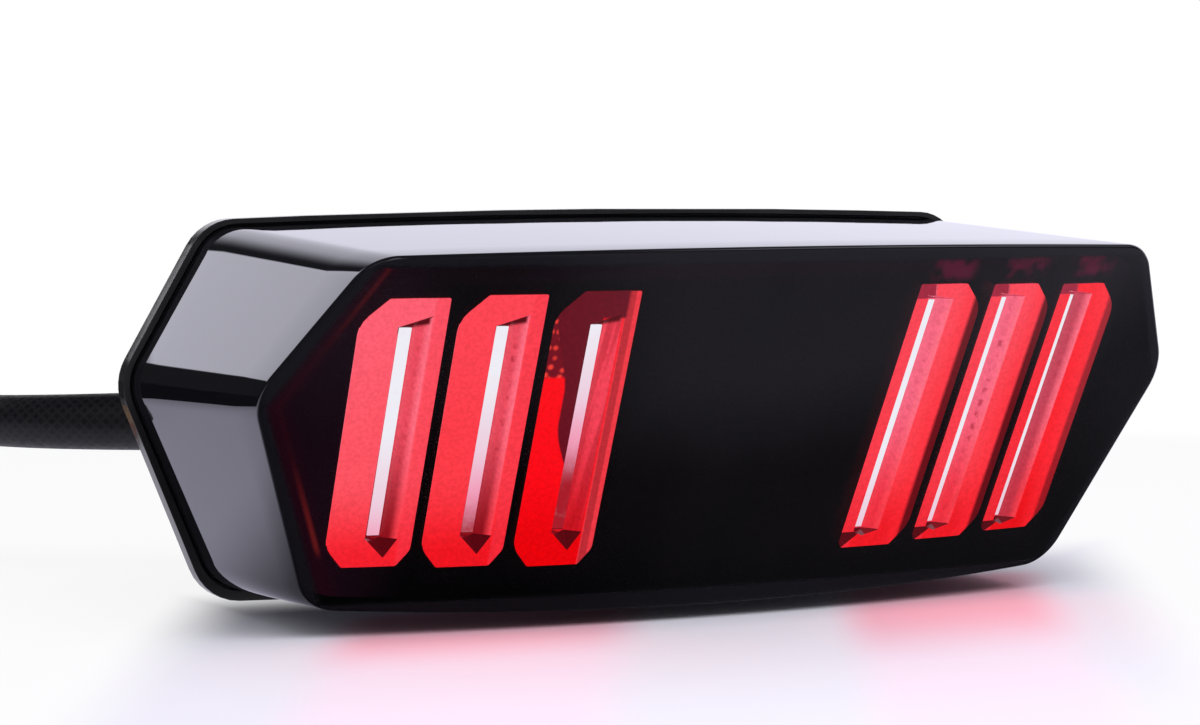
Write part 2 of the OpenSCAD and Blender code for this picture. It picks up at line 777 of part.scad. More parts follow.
outer_lens();
lens_gasket();
housing();
bezel();
color("#e8202c") light_bar(LEFT, OUTER);  // bar_left_outer
color("#e8202c") light_bar(LEFT, MIDDLE);  // bar_left_middle
color("#e8202c") light_bar(LEFT, INNER);  // bar_left_inner
color("#e8202c") light_bar(RIGHT, INNER);  // bar_right_inner
color("#e8202c") light_bar(RIGHT, MIDDLE);  // bar_right_middle
color("#e8202c") light_bar(RIGHT, OUTER);  // bar_right_outer
guide(LEFT, OUTER);  // guide_left_outer
guide(LEFT, MIDDLE);  // guide_left_middle
guide(LEFT, INNER);  // guide_left_inner
guide(RIGHT, INNER);  // guide_right_inner
guide(RIGHT, MIDDLE);  // guide_right_middle
guide(RIGHT, OUTER);  // guide_right_outer
light_box(LEFT);  // light_box_left
light_box(RIGHT);  // light_box_right
led_board(LEFT);  // led_board_left
led_board(RIGHT);  // led_board_right
white_leds(LEFT);  // white_leds_left
white_leds(RIGHT);  // white_leds_right
red_leds(LEFT);  // red_leds_left
red_leds(RIGHT);  // red_leds_right
led_header(LEFT);  // led_header_left
led_header(RIGHT);  // led_header_right
board_screws();
carrier();
carrier_screws();
driver_board();
driver_chips();
driver_capacitors();
driver_resistors();
driver_header();
driver_screws();
color("#d8d8d8") jumper(LEFT);  // jumper_left
color("#d8d8d8") jumper(RIGHT);  // jumper_right
color("#181818") inner_lead(0);  // lead_ground
color("#b8402c") inner_lead(1);  // lead_tail
color("#d8b02c") inner_lead(2);  // lead_brake
mount_inserts();
vent_cap();
cable_grommet();
cable_tie();
cable_entry();
cable_jacket();
jacket_shrink();
color("#181818") plug_wire(0);  // wire_ground
color("#b8402c") plug_wire(1);  // wire_tail
color("#d8b02c") plug_wire(2);  // wire_brake
plug_housing();
plug_seal();
plug_terminals();
plug_lock();
plug_latch();
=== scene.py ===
"""Motorcycle tail light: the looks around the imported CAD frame."""
import json
import math

import bmesh
import bpy
from mathutils import Matrix, Vector

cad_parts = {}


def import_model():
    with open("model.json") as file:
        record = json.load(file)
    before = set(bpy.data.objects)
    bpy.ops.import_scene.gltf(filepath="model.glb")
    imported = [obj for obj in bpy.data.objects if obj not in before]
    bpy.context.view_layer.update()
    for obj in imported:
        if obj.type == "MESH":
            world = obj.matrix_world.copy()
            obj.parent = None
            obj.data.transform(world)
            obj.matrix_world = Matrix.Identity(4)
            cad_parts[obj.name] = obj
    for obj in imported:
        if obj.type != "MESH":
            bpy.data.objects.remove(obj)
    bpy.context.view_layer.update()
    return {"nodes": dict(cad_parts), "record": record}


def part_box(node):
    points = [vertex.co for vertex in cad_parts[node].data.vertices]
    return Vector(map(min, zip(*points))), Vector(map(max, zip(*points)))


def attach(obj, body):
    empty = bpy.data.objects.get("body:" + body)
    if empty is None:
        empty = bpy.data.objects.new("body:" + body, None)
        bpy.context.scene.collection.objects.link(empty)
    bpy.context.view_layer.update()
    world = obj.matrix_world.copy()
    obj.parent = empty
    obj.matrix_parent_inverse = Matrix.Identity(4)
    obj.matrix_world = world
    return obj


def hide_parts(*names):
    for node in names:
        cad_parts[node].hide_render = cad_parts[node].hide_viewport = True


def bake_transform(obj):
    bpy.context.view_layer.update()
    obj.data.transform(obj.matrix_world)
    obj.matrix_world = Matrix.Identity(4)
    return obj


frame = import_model()
NODES = frame["nodes"]
RECORD = frame["record"]

# Every length in this script is in millimetres. MM turns it into the scene's metres.
MM = 0.001

# Shape of the lens, with the same meaning as in the part's source
LEAN = math.radians(26.4)
FACE_R = 375.0
CORNER_R = 8.0
WALL = 2.0
DRAFT_DEPTH = 85.0
SIDE_Z = 5.4
TOP_HALF = 72.5
LOW_HALF = 72.4
LOW_Z = -30.25
TOP_CROWN = 1.25
LOW_CROWN = 2.6
# Heights where the slanted sides end, for the colours that follow them
SLANT_TOP_Z = 31.2
SLANT_LOW_Z = -30.3
# How far the outline has moved in, DRAFT_DEPTH in front of the rim: its side points, the ends of its top
# and bottom edges, and these edges themselves; the side points also rise
DRAFT_SIDE = 3.6
DRAFT_RISE = 2.1
DRAFT_TOP_END = 1.2
DRAFT_TOP = 3.1
DRAFT_LOW_END = 2.9
DRAFT_LOW = 2.8
# Rounding of the lens where its walls meet its face, outside and inside
EDGE_R = 1.0
INNER_EDGE_R = 0.6

# Light bars: from one to the next, their slope, from a strip's centre to the inner and outer edge of its
# bar and to the lip of its trough, and the depth of their fronts and of the bezel behind the lens face
BAR_PITCH = 15.5
BAR_SLOPE = 0.046
BAR_INNER = -5.0
BAR_OUTER = 8.7
LIP = 2.9
BEZEL_DEPTH = 2.9

# Lead: radii of the sleeve and of a wire, the sleeve's swelling, and the distance between two cavities
CABLE_R = 4.7
SWELL = 0.8
WIRE_R = 1.1
CAVITY_PITCH = 4.0
# Length of sleeve inside the lamp, and how far behind the hinge the sleeve takes to swell
ENTRY_LENGTH = 24.0
BEND_REACH = 12.0
# Steps of the path of the lead: FINE to each step of the path in the part's source
FINE = 3
BEND_STEP = 20 * FINE
JACKET_END = 24 * FINE

# Camera: how it is turned, in degrees, where it stands, and its focal length and sensor in millimetres
YAW, PITCH, ROLL = 26.95, -4.155, 0.264
EYE_X, EYE_AHEAD, EYE_Z = -270.9, 535.0, 49.8
FOCAL_LENGTH = 100.8
SENSOR = 36.0

# The only lamp of the studio: a large soft one in front and above, which polished parts do not mirror
LIGHT_AT = (40, -480, 500)
LIGHT_TARGET = (0, -60, 0)
LIGHT_SIZE = (700, 500)
LIGHT_POWER = 3.7

# What polished parts see around them. Each softbox has its limits of azimuth and height in degrees, how
# soft its lower limits are, and its strength.
SOFTBOXES = (
    ((-42, -13.2, 15.2, 36), (0.4, 0.4), 2.4),
    ((0, 80, -6, 33), (9, 1), 1.2),
    ((95, 150, 30, 55), (3, 3), 1.2),
    ((-150, -110, 25, 50), (3, 3), 0.35),
    ((-179, -155, 15, 60), (3, 3), 0.9),
    ((-179, 179, 78, 91), (0, 3), 0.5),
)
DARK_STUDIO = 0.03

# Colours of the lit plastic, brightest first
PALE_TOP = (0.98, 0.125, 0.172)
PALE_MIDDLE = (0.98, 0.095, 0.125)
PALE_BOTTOM = (0.89, 0.015, 0.026)
DEEP_TOP = (0.96, 0.003, 0.008)
DEEP_BOTTOM = (0.80, 0.0, 0.002)
# Colour of the painted shade by the bars' edges
EDGE_DARK = (0.07, 0.0002, 0.003)
# Colour of the painted reflection on the left inner bar
MAROON = (0.125, 0.004, 0.012)
BLACK = (0.0, 0.0, 0.0)
WHITE = (1.0, 1.0, 1.0)


def box_mm(node):
    """The lowest and highest corner of a CAD node, in millimetres."""
    lo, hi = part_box(node)
    return Vector(lo) / MM, Vector(hi) / MM


LENS_LO, LENS_HI = box_mm("outer_lens")
HOUSING_LO, HOUSING_HI = box_mm("housing")
GUIDE_LO, GUIDE_HI = box_mm("guide_right_inner")
RIM_FRONT = HOUSING_LO.y
FOOT_Y = LENS_HI.y
FLOOR_Z = HOUSING_LO.z
# The face leans, so the front of the lens box is its top edge, which the draft has lowered
TOP_DRAFT = 0.0365
FACE_Y = LENS_LO.y + (LENS_HI.z - TOP_DRAFT * (RIM_FRONT - LENS_LO.y)) * math.tan(LEAN)
# The rounding of a side point takes this much off the width
ROUNDED_OFF = 0.92
SIDE_HALF = LENS_HI.x + ROUNDED_OFF
STRIP_HIGH = GUIDE_HI.z
LEFT_STRIP_HIGH = box_mm("guide_left_inner")[1].z
STRIP_MIDDLE = (GUIDE_LO.x + GUIDE_HI.x) / 2

JOINTS = {joint["name"]: joint for joint in RECORD["behaviour"]["joints"]}
PIVOT = Vector(JOINTS["lead_swing"]["pos_m"]) / MM
PLUG_AXIS = Vector(JOINTS["lock_slide"]["axis"])
PLUG_AT = PIVOT + Vector((-77.0, 64.0, -23.2))
JACKET_BEND = PIVOT + Vector((-68.0, 42.0, -0.8))

# ---------------------------------------------------------------- node graphs


class Graph:
    """Adds shader nodes to the node tree of a material or a world, which it empties first."""

    def __init__(self, owner):
        owner.use_nodes = True
        self.owner = owner
        self.tree = owner.node_tree
        self.tree.nodes.clear()

    def add(self, kind, inputs=(), output=0, **settings):
        """A new node, with inputs by place or by name. Returns one of its outputs."""
        node = self.tree.nodes.new(kind)
        for key, value in settings.items():
            setattr(node, key, value)
        pairs = inputs.items() if isinstance(inputs, dict) else enumerate(inputs)
        for key, value in pairs:
            socket = node.inputs[key]
            if isinstance(value, bpy.types.NodeSocket):
                self.tree.links.new(value, socket)
            elif value is not None:
                socket.default_value = (*value, 1.0) if socket.type == "RGBA" else value
        return node.outputs[output] if node.outputs else None

    def math(self, operation, *values):
        return self.add("ShaderNodeMath", values, operation=operation)

    def times(self, first, *others):
        """The product of all the values."""
        for other in others:
            first = self.math("MULTIPLY", first, other)
        return first

    def minus(self, value, less):
        return self.math("SUBTRACT", value, less)

    def highest(self, first, *others):
        """The largest of the values."""
        for other in others:
            first = self.math("MAXIMUM", first, other)
        return first

    def smooth(self, value, low, high, to_low=0.0, to_high=1.0):
        """A smooth step from to_low, where the value is low, to to_high, where it is high."""
        inputs = (value, low, high, to_low, to_high)
        return self.add("ShaderNodeMapRange", inputs, interpolation_type="SMOOTHSTEP")

    def fall(self, value, low, high):
        """A smooth step from 1 to 0."""
        return self.smooth(value, low, high, 1.0, 0.0)

    def band(self, value, low, full, still_full, high):
        """1 between full and still_full, with a smooth step to 0 at low and high."""
        return self.times(self.smooth(value, low, full), self.fall(value, still_full, high))

    def mix(self, factor, a, b, blend="MIX"):
        return self.add("ShaderNodeMix", {0: factor, 6: a, 7: b}, 2, data_type="RGBA", blend_type=blend)

    def shaders(self, factor, a, b):
        return self.add("ShaderNodeMixShader", (factor, a, b))

    def millimetres(self, point):
        """A point as a vector in millimetres, and its x, y and z."""
        point = self.add("ShaderNodeVectorMath", (point, None, None, 1 / MM), operation="SCALE")
        parts = self.add("ShaderNodeSeparateXYZ", (point,)).node.outputs
        return point, parts[0], parts[1], parts[2]

    def place(self):
        """The shaded point on its piece, as a vector and its x, y and z."""
        return self.millimetres(self.add("ShaderNodeTexCoord", output="Object"))

    def noise(self, point, scale, detail=3.0):
        inputs = {"Vector": point, "Scale": scale, "Detail": detail, "Roughness": 0.55}
        return self.add("ShaderNodeTexNoise", inputs)

    def stretch(self, point, x, y, z):
        return self.add("ShaderNodeVectorMath", (point, (x, y, z)), operation="MULTIPLY")

    def bump(self, height, strength, distance=0.1):
        inputs = {"Height": height, "Strength": strength, "Distance": distance * MM}
        return self.add("ShaderNodeBump", inputs)

    def glow(self, colour, strength):
        return self.add("ShaderNodeEmission", {"Color": colour, "Strength": strength})

    def solid(self, **inputs):
        """A Principled shader; an underscore in a name stands for a space."""
        inputs = {name.replace("_", " "): value for name, value in inputs.items()}
        return self.add("ShaderNodeBsdfPrincipled", inputs)

    def done(self, shader):
        """Ends a material, and returns it."""
        self.add("ShaderNodeOutputMaterial", (shader,))
        return self.owner


def new_graph(name):
    return Graph(bpy.data.materials.new(name))


# ---------------------------------------------------------------- materials


def lens_depth(g, x, y, z):
    """How far a point lies behind the lens face."""
    flat = g.math("MULTIPLY_ADD", z, math.tan(LEAN), g.minus(y, FACE_Y))
    bulge = g.times(g.times(x, x), 0.5 / (FACE_R * math.cos(LEAN)))
    return g.times(g.minus(flat, bulge), math.cos(LEAN))


def outline_distance(g, x, z):
    """How far a point lies inside the four slanted sides of the lens outline, at the rim."""
    out = g.math("ABSOLUTE", x)
    side = Vector((SIDE_HALF, SIDE_Z))
    top = Vector((TOP_HALF, SLANT_TOP_Z))
    low = Vector((LOW_HALF, SLANT_LOW_Z))
    gaps = []
    for start, end in ((side, top), (low, side)):
        along = (end - start).normalized()
        normal = Vector((along.y, -along.x))
        line = g.math("ADD", g.times(out, normal.x), g.times(z, normal.y))
        gaps.append(g.minus(start.dot(normal), line))
    return g.math("MINIMUM", *gaps)


def smoked_lens():
    """A glossy face that lets red light through, and side walls with a black lining."""
    g = new_graph("smoked_lens")
    point, x, y, z = g.place()
    scuffs = g.noise(g.stretch(point, 0.9, 0.9, 0.12), 0.8, 6.0)
    rough = g.smooth(scuffs, 0.35, 0.8, 0.012, 0.04)
    waves = g.bump(g.noise(point, 0.045, 1.0), 0.05, 0.4)
    outward = g.minus(1.0, g.add("ShaderNodeNewGeometry", output="Backfacing"))
    mirror = g.times(g.add("ShaderNodeFresnel", {"IOR": 1.62, "Normal": waves}), outward)
    gloss = {"Color": (0.93, 0.92, 1.0), "Roughness": rough, "Normal": waves}
    gloss = g.add("ShaderNodeBsdfGlossy", gloss)
    front = g.fall(lens_depth(g, x, y, z), 2.6, 3.0)
    away_from_sides = g.smooth(outline_distance(g, x, z), 3.2, 4.6)
    below_top = g.fall(z, LENS_HI.z - 5.8, LENS_HI.z - 4.8)
    above_bottom = g.smooth(z, -28.6, -27.6)
    window = g.times(front, away_from_sides, below_top, above_bottom)
    clear = g.add("ShaderNodeBsdfTransparent", {"Color": (0.62, 0.585, 0.6)})
    lining = g.add("ShaderNodeBsdfDiffuse", {"Color": (0.006, 0.006, 0.008)})
    return g.done(g.shaders(mirror, g.shaders(window, lining, clear), gloss))


def plastic(name, colour, rough, grain):
    """Moulded plastic: its colour drifts slowly, and its surface has a fine grain."""
    g = new_graph(name)
    point = g.place()[0]
    dark = tuple(c * 0.75 for c in colour)
    light = tuple(min(1.0, c * 1.25) for c in colour)
    paint = g.mix(g.smooth(g.noise(point, 0.05, 2.0), 0.3, 0.7), dark, light)
    normal = g.bump(g.noise(point, 6.0, 4.0), grain)
    wear = g.smooth(g.noise(point, 0.6, 5.0), 0.35, 0.75, rough * 0.8, rough * 1.35)
    return g.done(g.solid(Base_Color=paint, Roughness=wear, IOR=1.5, Normal=normal))


def metal(name, colour, rough, stretch):
    """Turned or plated metal, with fine tool marks."""
    g = new_graph(name)
    marks = g.noise(g.stretch(g.place()[0], *stretch), 3.0, 4.0)
    tint = g.mix(g.smooth(marks, 0.3, 0.7), tuple(c * 0.72 for c in colour), colour)
    wear = g.smooth(marks, 0.3, 0.7, rough * 0.7, rough * 1.4)
    normal = g.bump(marks, 0.15, 0.05)
    return g.done(g.solid(Base_Color=tint, Metallic=1.0, Roughness=wear, Normal=normal))


def circuit_board(name, mask, track):
    """Solder mask over copper tracks that run in lanes."""
    g = new_graph(name)
    bricks = {"Vector": g.stretch(g.place()[0], 0.5, 0.0, 0.5), "Scale": 1.0}
    bricks.update({"Mortar Size": 0.06, "Brick Width": 2.4, "Row Height": 0.7})
    lanes = g.add("ShaderNodeTexBrick", bricks, 1)
    normal = g.bump(lanes, 0.3, 0.05)
    return g.done(g.solid(Base_Color=g.mix(lanes, mask, track), Roughness=0.35, Normal=normal))


def led_package(name, colour, strength):
    """A small lit LED: its light is a little uneven."""
    g = new_graph(name)
    uneven = g.smooth(g.noise(g.place()[0], 2.0, 1.0), 0.3, 0.7, strength * 0.7, strength)
    return g.done(g.glow(colour, uneven))


def bar_place(g, x, z):
    """On the right or not, the bar's number from the inside, and the distance outwards from its strip."""
    right = g.math("GREATER_THAN", x, 0.0)
    centre = g.math("MULTIPLY_ADD", z, BAR_SLOPE, STRIP_MIDDLE)
    offset = g.minus(g.math("ABSOLUTE", x), centre)
    edge = BAR_INNER - (BAR_PITCH - BAR_OUTER + BAR_INNER) / 2
    across = g.math("WRAP", offset, edge + BAR_PITCH, edge)
    bar = g.math("FLOOR", g.math("DIVIDE", g.minus(offset, edge), BAR_PITCH))
    return right, bar, across


def led_marks(g, point, z, depth, right, bar):
    """A row of small uneven dark marks halfway down the trough's wall, plainest in the middle bars."""
    row = g.math("PINGPONG", g.math("ADD", z, 30.0), 1.05)
    line = g.math("ABSOLUTE", g.minus(depth, 4.7))
    uneven = g.smooth(g.noise(point, 0.9, 3.0), 0.4, 0.62)
    spot = g.times(g.fall(row, 0.3, 0.8), g.fall(line, 0.15, 0.6), uneven)
    middle = g.math("COMPARE", bar, 1.0, 0.2)
    plain = g.math("MULTIPLY_ADD", middle, 0.35, 0.25)
    span = g.band(z, -9.0, -4.0, 13.5, 15.5)
    return g.times(g.times(spot, plain), g.highest(span, g.times(right, 0.6)))


def painted_trough_shade(g, z, depth, right, across):
    """Painted shade: on the end slopes of a trough, by how they face, under a left trough's top, and as dark
    notches in the lips on the right.
    """
    normal = g.add("ShaderNodeNewGeometry", output="True Normal")
    up_the_face = (0.0, -math.sin(LEAN), math.cos(LEAN))
    tilt = g.add("ShaderNodeVectorMath", (normal, up_the_face), 1, operation="DOT_PRODUCT")
    tilt = g.math("ABSOLUTE", tilt)
    # Painted shade on the end slopes, which face up or down the face
    slopes = g.times(g.smooth(tilt, 0.16, 0.3), g.smooth(depth, BEZEL_DEPTH + 0.1, BEZEL_DEPTH + 0.2))
    under = g.math("MULTIPLY_ADD", across, 0.45, g.minus(z, LEFT_STRIP_HIGH + 0.45))
    under = g.times(g.smooth(under, -1.2, -0.5), g.smooth(depth, BEZEL_DEPTH + 0.3, BEZEL_DEPTH + 0.9))
    under = g.times(under, g.minus(1.0, right))
    # Painted shade: dark notches in the right bars beyond the ends of their strips
    far = g.smooth(g.math("ABSOLUTE", z), STRIP_HIGH + 0.2, STRIP_HIGH + 0.3)
    notch_shade = g.times(g.times(far, right), g.smooth(depth, BEZEL_DEPTH + 0.3, BEZEL_DEPTH + 0.6))
    return g.highest(slopes, under, notch_shade)


def maroon_reflection(g, z, across, inner):
    """The dark curved reflection on the left inner bar, which narrows downwards to a point at the strip."""
    width = g.math("ADD", g.smooth(z, -13.0, 1.5, 0.4, 5.0), g.smooth(z, 6.0, 19.0, 0.0, 3.2))
    side = g.times(g.smooth(g.minus(width, across), -0.2, 0.2), g.smooth(across, 0.5, 0.9))
    top = g.times(g.smooth(z, 18.1, 18.7), g.smooth(across, -3.4, -2.8))
    return g.times(inner, g.highest(side, top))


def bead_reflection(g, point, z, across, inner):
    """How far the beads of light by the dark reflection cover the bar, and how bright they are."""
    area = g.times(g.smooth(z, 8.6, 9.2), g.smooth(across, 3.0, 3.6))
    cells = {"Vector": point, "Scale": 0.62, "Randomness": 0.8}
    cells = g.add("ShaderNodeTexVoronoi", cells, "Distance")
    return g.times(inner, area), g.fall(cells, 0.15, 0.45)


def face_red(g, z, right, bar):
    """Front of a bar: pale at the top, deep at the bottom, deeper on the left inner and right outer bars."""
    pale = g.mix(g.smooth(z, -5.0, 21.0), PALE_MIDDLE, PALE_TOP)
    pale = g.mix(g.smooth(z, -21.0, -6.0), PALE_BOTTOM, pale)
    inner = g.smooth(g.minus(2.0, bar), 0.0, 2.0)
    outer = g.smooth(bar, 1.0, 2.0, 0.45, 0.85)
    deep = g.math("ADD", g.times(inner, g.minus(1.0, right)), g.times(outer, right))
    return g.mix(deep, pale, g.mix(g.smooth(z, -22.0, -4.0), DEEP_BOTTOM, DEEP_TOP))


def wall_red(g, point, z, depth, right, bar, inner):
    """Wall of a trough: a painted highlight along its lip, painted shade deeper in the trough, and darker
    towards the bottom.
    """
    high = g.smooth(z, -18.0, 4.0)
    # Painted highlight along the lip; the deeper wall colours below are painted shade, deepest by the strip
    lip = g.mix(high, (0.92, 0.05, 0.07), (0.97, 0.17, 0.23))
    left_wall = g.mix(high, (0.26, 0.005, 0.010), (0.78, 0.075, 0.11))
    right_wall = g.mix(high, (0.84, 0.03, 0.05), (0.88, 0.14, 0.22))
    dim = g.times(right, g.smooth(bar, 1.0, 2.0, 0.0, 0.75))
    deep = g.mix(dim, g.mix(right, left_wall, right_wall), (0.42, 0.035, 0.06))
    wall = g.mix(g.smooth(depth, BEZEL_DEPTH + 0.2, BEZEL_DEPTH + 2.0), lip, deep)
    streaks = g.smooth(g.noise(g.stretch(point, 1.0, 0.02, 0.02), 1.6, 1.0), 0.4, 0.6)
    red = g.mix(high, (0.66, 0.008, 0.016), (0.88, 0.06, 0.095))
    red = g.mix(streaks, g.mix(0.45, red, (0.30, 0.002, 0.006)), red)
    return g.mix(inner, wall, red)


def edge_shade(g, z, right, bar, across, inner):
    """How dark a bar's front is: by its outer edge on the right, and along the left inner bar's lip."""
    fade = g.times(g.times(right, g.smooth(across, 6.5, 7.5)), g.smooth(bar, 1.0, 2.0, 0.93, 0.75))
    lip = g.band(across, -4.3, -4.0, -3.0, -2.8)
    return g.highest(fade, g.times(g.times(inner, lip), 0.45))


def red_bar():
    """Lit red plastic, coloured in the way the lamp's own light spreads in it, with painted shade,
    highlights and reflections.
    """
    g = new_graph("red_bar")
    point, x, y, z = g.place()
    right, bar, across = bar_place(g, x, z)
    depth = lens_depth(g, x, y, z)
    inner = g.times(g.minus(1.0, right), g.math("LESS_THAN", bar, 0.5))
    face = bar_front(g, z, right, bar, across, inner)
    wall = wall_red(g, point, z, depth, right, bar, inner)
    wall = g.mix(led_marks(g, point, z, depth, right, bar), wall, (0.30, 0.008, 0.02))
    colour = g.mix(g.smooth(depth, BEZEL_DEPTH + 0.1, BEZEL_DEPTH + 0.35), face, wall)
    beads, bright = bead_reflection(g, point, z, across, inner)
    colour = g.mix(beads, colour, g.mix(bright, (0.16, 0.004, 0.012), (0.85, 0.05, 0.035)))
    colour = g.mix(maroon_reflection(g, z, across, inner), colour, MAROON)
    # Colours of the painted shade at the trough ends, lighter at the top of the right bars
    ends = g.times(right, g.smooth(z, -1.0, 1.0))
    ends = g.mix(ends, (0.085, 0.0015, 0.004), (0.33, 0.016, 0.042))
    colour = g.mix(painted_trough_shade(g, z, depth, right, across), colour, ends)
    grain = g.smooth(g.noise(point, 1.6, 4.0), 0.3, 0.75, 0.86, 1.08)
    back = g.smooth(depth, 6.4, 7.0, 1.0, 0.15)
    glow = g.glow(colour, g.times(g.times(back, grain), 2.9))
    skin = g.solid(Base_Color=(0.03, 0.001, 0.001), Roughness=0.2, Specular_IOR_Level=0.2)
    return g.done(g.add("ShaderNodeAddShader", (glow, skin)))


def bar_front(g, z, right, bar, across, inner):
    """Front of a bar, with its shades: towards the outside on the right, along the lips and by the edges."""
    face = face_red(g, z, right, bar)
    shade = g.smooth(across, LIP + 0.2, LIP + 3.4)
    face = g.mix(g.times(g.times(shade, right), 0.45), face, (1.0, 0.022, 0.035))
    lip = g.fall(across, -LIP - 0.2, -LIP + 0.4)
    face = g.mix(g.times(lip, 0.45), face, (0.90, 0.04, 0.065))
    face = g.mix(g.times(inner, g.smooth(across, -2.6, -2.9)), face, (0.84, 0.045, 0.06))
    return g.mix(edge_shade(g, z, right, bar, across, inner), face, EDGE_DARK)


def white_guide():
    """Lit strip, whose white glow is also a painted reflection of a softbox in the trough: on the left it
    fades to red at its bottom, soonest in the inner bar.
    """
    g = new_graph("white_guide")
    point, x, y, z = g.place()
    right, bar, _ = bar_place(g, x, z)
    middle = g.math("MULTIPLY_ADD", bar, -8.5, -2.0)
    middle = g.math("MULTIPLY_ADD", right, g.minus(-26.0, middle), middle)
    above = g.minus(z, middle)
    colour = g.mix(g.smooth(above, -8.0, 1.0), (0.36, 0.012, 0.022), (0.82, 0.34, 0.47))
    colour = g.mix(g.smooth(above, -1.0, 9.0), colour, (0.78, 0.66, 0.74))
    colour = g.mix(g.smooth(above, 7.0, 21.0), colour, (0.79, 0.88, 0.90))
    colour = g.mix(g.smooth(g.noise(point, 0.5, 2.0), 0.45, 0.8, 0.0, 0.15), colour, (0.8, 0.62, 0.7))
    strength = g.smooth(lens_depth(g, x, y, z), 6.6, 7.1, 3.0, 0.6)
    return g.done(g.glow(colour, strength))


def ghosts(g, point, x, z, across):
    """Faint red shapes above the right bars: each bar's light, mirrored in the lens."""
    shape = g.band(across, BAR_INNER + 0.5, BAR_INNER + 2.5, 3.5, 6.5)
    shape = g.times(shape, g.band(z, 22.9, 24.4, 26.3, 27.8))
    span = g.band(x, 22.0, 28.0, 66.0, 73.0)
    return g.times(g.times(shape, span), g.smooth(g.noise(point, 0.22, 2.0), 0.38, 0.62))


def bezel_plate():
    """Black plate with painted red light of the bars: a maroon border, a soft glow and a thin red line on
    the left, a faint glow along the top, and red ghosts on the right.
    """
    g = new_graph("bezel_black")
    point, x, y, z = g.place()
    _, _, across = bar_place(g, x, z)
    inside = outline_distance(g, x, z)
    left = g.fall(x, -60.0, -50.0)
    # Painted red light along the border, on the left only
    border = g.times(g.fall(inside, 5.5, 9.5), left)
    glow_haze = g.highest(g.fall(x, -66.0, -54.0), g.smooth(z, 22.5, 26.0, 0.0, 0.5))
    line = g.times(g.fall(g.math("ABSOLUTE", g.minus(inside, 6.6)), 0.0, 0.7), left)
    low = g.times(g.smooth(z, -21.0, -18.0), g.smooth(z, -18.0, -2.0, 1.0, 0.05))
    line = g.times(line, g.math("ADD", low, g.smooth(z, 12.0, 24.0, 0.0, 0.3)))
    # Painted light: the border, glow and line on the left and the ghosts on the right glow red on the black
    # plate
    glow = g.mix(glow_haze, BLACK, (0.007, 0.0015, 0.0045))
    glow = g.mix(border, glow, (0.013, 0.001, 0.005))
    glow = g.mix(line, glow, (0.13, 0.010, 0.010))
    glow = g.mix(ghosts(g, point, x, z, across), glow, (0.085, 0.001, 0.022))
    grain = g.noise(point, 5.0, 3.0)
    drift = g.smooth(g.noise(point, 0.05, 2.0), 0.3, 0.7)
    tint = g.mix(drift, (0.006, 0.006, 0.008), (0.016, 0.013, 0.016))
    rough = g.smooth(grain, 0.3, 0.7, 0.18, 0.3)
    plate = g.solid(Base_Color=tint, Roughness=rough, Normal=g.bump(grain, 0.05))
    return g.done(g.add("ShaderNodeAddShader", (g.glow(glow, 2.2), plate)))


def braid():
    """Woven sleeve: fine crossing threads, and a soft sheen."""
    g = new_graph("cable_black")
    point = g.place()[0]
    uv = g.add("ShaderNodeUVMap", uv_map="sleeve")
    turns, length, _ = g.add("ShaderNodeSeparateXYZ", (uv,)).node.outputs
    threads = 2 * math.pi * 16
    one_way = g.math("SINE", g.times(g.math("ADD", turns, length), threads))
    other_way = g.math("SINE", g.times(g.minus(turns, length), threads))
    weave = g.highest(one_way, other_way)
    colour = g.mix(g.smooth(weave, -0.2, 1.0), (0.004, 0.004, 0.006), (0.009, 0.009, 0.012))
    rough = g.smooth(g.noise(point, 0.8, 4.0), 0.3, 0.7, 0.4, 0.55)
    normal = g.bump(weave, 0.06)
    return g.done(g.solid(Base_Color=colour, Roughness=rough, Normal=normal, Specular_IOR_Level=0.25))


def floor_lane(g, x, y):
    """Distance across the lamp's light on the floor, which runs forwards and to the left."""
    return g.math("MULTIPLY_ADD", g.math("ADD", y, 60.0), -0.55, x)


def floor_tint_and_red_light(g, x, y):
    """Faint blue, and painted pink light where the lamp's light falls in front of each group of bars."""
    lane = floor_lane(g, x, y)
    left = g.band(lane, -73.0, -60.0, -22.0, -8.0)
    right = g.band(lane, 22.0, 34.0, 61.0, 75.0)
    near_left = g.times(left, g.smooth(y, -92.0, -56.0))
    near_right = g.times(right, g.smooth(y, -120.0, -72.0))
    front = g.fall(y, -42.0, -30.0)
    pink = g.times(g.math("ADD", left, right), front)
    tint = g.mix(pink, (0.91, 0.895, 1.0), (1.0, 0.855, 1.0))
    # Stronger painted red light close in front of the lamp
    strong = g.times(g.times(g.highest(near_left, near_right), front), 0.85)
    return g.mix(strong, tint, (1.0, 0.50, 0.62))


def away_from_lamp(g, point, x, y):
    """How much the floor has turned to plain white: far away, beside the lamp and behind it."""
    lane = floor_lane(g, x, y)
    middle = (0.0, -20.0, 0.0)
    distance = g.add("ShaderNodeVectorMath", (point, middle), 1, operation="DISTANCE")
    beside = g.highest(g.smooth(lane, -86.0, -108.0), g.smooth(lane, 74.0, 96.0))
    near = g.times(g.highest(beside, g.smooth(y, -28.0, 5.0)), 0.88)
    return g.highest(near, g.smooth(distance, 150.0, 360.0))


def mirrored_floor(g, x, y):
    """What polished parts see of the floor: bright beside the lamp, and faint in front of it."""
    beside = g.times(g.smooth(y, -46.0, 12.0, 0.14, 0.95), g.smooth(y, 50.0, 115.0, 1.0, 0.74))
    beside = g.times(beside, g.band(y, -52.0, -44.0, 114.0, 121.0))
    front = g.times(g.smooth(y, -88.0, -113.0, 0.06, 0.2), g.smooth(x, -38.0, 12.0, 0.3, 1.0))
    front = g.math("ADD", front, g.smooth(x, 85.0, 135.0, 0.0, 0.06))
    return g.math("ADD", beside, g.times(front, g.fall(y, -60.0, -52.0)))


